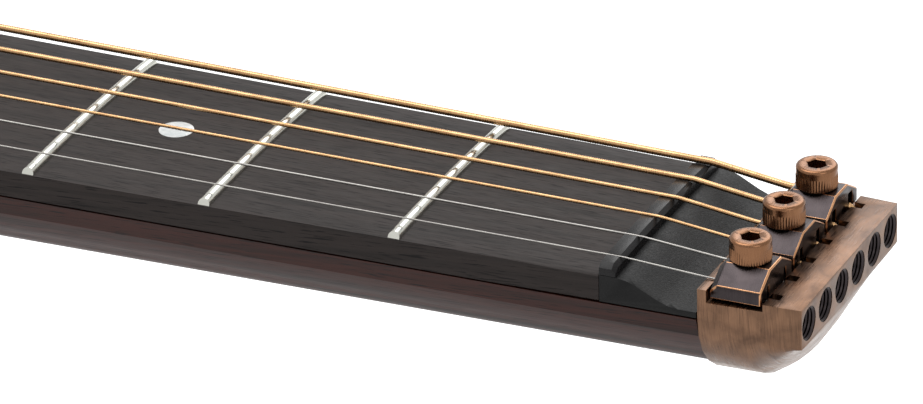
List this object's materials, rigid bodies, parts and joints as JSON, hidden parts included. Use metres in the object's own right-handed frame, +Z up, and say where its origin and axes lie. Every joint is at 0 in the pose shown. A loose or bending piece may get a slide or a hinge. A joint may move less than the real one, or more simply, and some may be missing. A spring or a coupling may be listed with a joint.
{
  "type": "headless dreadnought guitar",
  "caption": "Headless steel-string dreadnought guitar: hollow wooden body, scooped nut ramp, copper headpiece with screw-down string clamps, knurled tuners on the tail.",
  "frame": {"origin": "on the table under the middle of the guitar's length, the flat back lying on z = 0", "axes": "+X along the neck towards the head, +Y to the bass side, +Z up out of the soundboard"},
  "size_m": [0.9194, 0.396, 0.1357],
  "materials": {
    "antique_copper": "brushed antique copper, satin",
    "bare_wood": "bare pale wood",
    "black_plastic": "satin black",
    "black_texture": "textured black",
    "bone": "bone white",
    "bronze_wound": "phosphor-bronze wound wire",
    "ebony": "charcoal-brown ebony with open pores",
    "gunmetal": "blackened copper worn bright on the edges",
    "mahogany": "dark red-brown, satin lacquer",
    "nickel": "polished nickel silver",
    "plain_steel": "bright drawn steel wire",
    "polished_copper": "polished copper with darker recesses",
    "rosewood": "dark reddish brown, satin lacquer",
    "spruce": "amber spruce, satin lacquer",
    "tool_steel": "zinc-plated steel"
  },
  "bodies": {
    "root": {"back_binding": "black_plastic", "back_brace_1": "bare_wood", "back_brace_2": "bare_wood", "back_lining_bass": "bare_wood", "back_lining_treble": "bare_wood", "back_plate": "rosewood", "bridge": "ebony", "bridge_plate": "bare_wood", "cross_brace": "bare_wood", "end_pin": "black_plastic", "fingerboard": "ebony", "fret_01": "nickel", "fret_02": "nickel", "fret_03": "nickel", "headpiece": "antique_copper", "headpiece_screw_bass": "tool_steel", "headpiece_screw_treble": "tool_steel", "neck": "mahogany", "neck_block": "bare_wood", "nut": "black_plastic", "pickguard": "black_plastic", "saddle": "bone", "side_bass": "rosewood", "side_treble": "rosewood", "soundboard": "spruce", "string_1": "plain_steel", "string_2": "plain_steel", "string_3": "bronze_wound", "string_4": "bronze_wound", "string_5": "bronze_wound", "string_6": "bronze_wound", "string_ramp": "black_texture", "tail_block": "bare_wood", "top_binding": "black_plastic", "top_lining_bass": "bare_wood", "top_lining_treble": "bare_wood", "truss_rod": "tool_steel", "tuner_frame": "antique_copper", "tuner_frame_screw_bass": "polished_copper", "tuner_frame_screw_treble": "polished_copper", "x_brace": "bare_wood"},
    "clamp_treble": {"clamp_block_treble": "gunmetal"},
    "clamp_screw_treble": {"clamp_screw_treble": "polished_copper"},
    "clamp_middle": {"clamp_block_middle": "gunmetal"},
    "clamp_screw_middle": {"clamp_screw_middle": "polished_copper"},
    "clamp_bass": {"clamp_block_bass": "gunmetal"},
    "clamp_screw_bass": {"clamp_screw_bass": "polished_copper"},
    "carriage_1": {"tuner_carriage_1": "gunmetal"},
    "knob_1": {"tuner_knob_1": "polished_copper"},
    "carriage_2": {"tuner_carriage_2": "gunmetal"},
    "knob_2": {"tuner_knob_2": "polished_copper"},
    "carriage_3": {"tuner_carriage_3": "gunmetal"},
    "knob_3": {"tuner_knob_3": "polished_copper"},
    "carriage_4": {"tuner_carriage_4": "gunmetal"},
    "knob_4": {"tuner_knob_4": "polished_copper"},
    "carriage_5": {"tuner_carriage_5": "gunmetal"},
    "knob_5": {"tuner_knob_5": "polished_copper"},
    "carriage_6": {"tuner_carriage_6": "gunmetal"},
    "knob_6": {"tuner_knob_6": "polished_copper"},
    "rod_nut": {"truss_rod_nut": "tool_steel"}
  },
  "joints": [
    {"name": "clamp_lift_treble", "type": "slide", "parent": "root", "child": "clamp_treble", "axis": [0.0492, 0, 0.9988], "range_m": [0, 0.002]},
    {"name": "clamp_screw_turn_treble", "type": "hinge", "parent": "clamp_treble", "child": "clamp_screw_treble", "pos_m": [0.44838, -0.0142, 0.08903], "axis": [0.0492, 0, 0.9988], "range_deg": [0, 1029]},
    {"name": "clamp_lift_middle", "type": "slide", "parent": "root", "child": "clamp_middle", "axis": [0.0492, 0, 0.9988], "range_m": [0, 0.002]},
    {"name": "clamp_screw_turn_middle", "type": "hinge", "parent": "clamp_middle", "child": "clamp_screw_middle", "pos_m": [0.44838, 0, 0.08903], "axis": [0.0492, 0, 0.9988], "range_deg": [0, 1029]},
    {"name": "clamp_lift_bass", "type": "slide", "parent": "root", "child": "clamp_bass", "axis": [0.0492, 0, 0.9988], "range_m": [0, 0.002]},
    {"name": "clamp_screw_turn_bass", "type": "hinge", "parent": "clamp_bass", "child": "clamp_screw_bass", "pos_m": [0.44838, 0.0142, 0.08903], "axis": [0.0492, 0, 0.9988], "range_deg": [0, 1029]},
    {"name": "tuner_slide_1", "type": "slide", "parent": "root", "child": "carriage_1", "axis": [-0.9988, 0, 0.0492], "range_m": [-0.0056, 0.0056], "deforming": ["string_1"]},
    {"name": "tuner_knob_turn_1", "type": "hinge", "parent": "root", "child": "knob_1", "pos_m": [-0.44448, -0.027, 0.13017], "axis": [-0.9988, 0, 0.0492], "range_deg": [-2881, 2881]},
    {"name": "tuner_slide_2", "type": "slide", "parent": "root", "child": "carriage_2", "axis": [-0.9988, 0, 0.0492], "range_m": [-0.0056, 0.0056], "deforming": ["string_2"]},
    {"name": "tuner_knob_turn_2", "type": "hinge", "parent": "root", "child": "knob_2", "pos_m": [-0.44448, -0.0162, 0.13017], "axis": [-0.9988, 0, 0.0492], "range_deg": [-2881, 2881]},
    {"name": "tuner_slide_3", "type": "slide", "parent": "root", "child": "carriage_3", "axis": [-0.9988, 0, 0.0492], "range_m": [-0.0056, 0.0056], "deforming": ["string_3"]},
    {"name": "tuner_knob_turn_3", "type": "hinge", "parent": "root", "child": "knob_3", "pos_m": [-0.44448, -0.0054, 0.13017], "axis": [-0.9988, 0, 0.0492], "range_deg": [-2881, 2881]},
    {"name": "tuner_slide_4", "type": "slide", "parent": "root", "child": "carriage_4", "axis": [-0.9988, 0, 0.0492], "range_m": [-0.0056, 0.0056], "deforming": ["string_4"]},
    {"name": "tuner_knob_turn_4", "type": "hinge", "parent": "root", "child": "knob_4", "pos_m": [-0.44448, 0.0054, 0.13017], "axis": [-0.9988, 0, 0.0492], "range_deg": [-2881, 2881]},
    {"name": "tuner_slide_5", "type": "slide", "parent": "root", "child": "carriage_5", "axis": [-0.9988, 0, 0.0492], "range_m": [-0.0056, 0.0056], "deforming": ["string_5"]},
    {"name": "tuner_knob_turn_5", "type": "hinge", "parent": "root", "child": "knob_5", "pos_m": [-0.44448, 0.0162, 0.13017], "axis": [-0.9988, 0, 0.0492], "range_deg": [-2881, 2881]},
    {"name": "tuner_slide_6", "type": "slide", "parent": "root", "child": "carriage_6", "axis": [-0.9988, 0, 0.0492], "range_m": [-0.0056, 0.0056], "deforming": ["string_6"]},
    {"name": "tuner_knob_turn_6", "type": "hinge", "parent": "root", "child": "knob_6", "pos_m": [-0.44448, 0.027, 0.13017], "axis": [-0.9988, 0, 0.0492], "range_deg": [-2881, 2881]},
    {"name": "truss_rod_turn", "type": "hinge", "parent": "root", "child": "rod_nut", "pos_m": [0.01431, 0, 0.09417], "axis": [0.9988, 0, -0.0492], "range_deg": [-360, 360]}
  ],
  "couplings": [
    {"joint": "clamp_screw_turn_treble", "follows": "clamp_lift_treble", "rad_per_m": 8976},
    {"joint": "clamp_screw_turn_middle", "follows": "clamp_lift_middle", "rad_per_m": 8976},
    {"joint": "clamp_screw_turn_bass", "follows": "clamp_lift_bass", "rad_per_m": 8976},
    {"joint": "tuner_knob_turn_1", "follows": "tuner_slide_1", "rad_per_m": 8976},
    {"joint": "tuner_knob_turn_2", "follows": "tuner_slide_2", "rad_per_m": 8976},
    {"joint": "tuner_knob_turn_3", "follows": "tuner_slide_3", "rad_per_m": 8976},
    {"joint": "tuner_knob_turn_4", "follows": "tuner_slide_4", "rad_per_m": 8976},
    {"joint": "tuner_knob_turn_5", "follows": "tuner_slide_5", "rad_per_m": 8976},
    {"joint": "tuner_knob_turn_6", "follows": "tuner_slide_6", "rad_per_m": 8976}
  ]
}
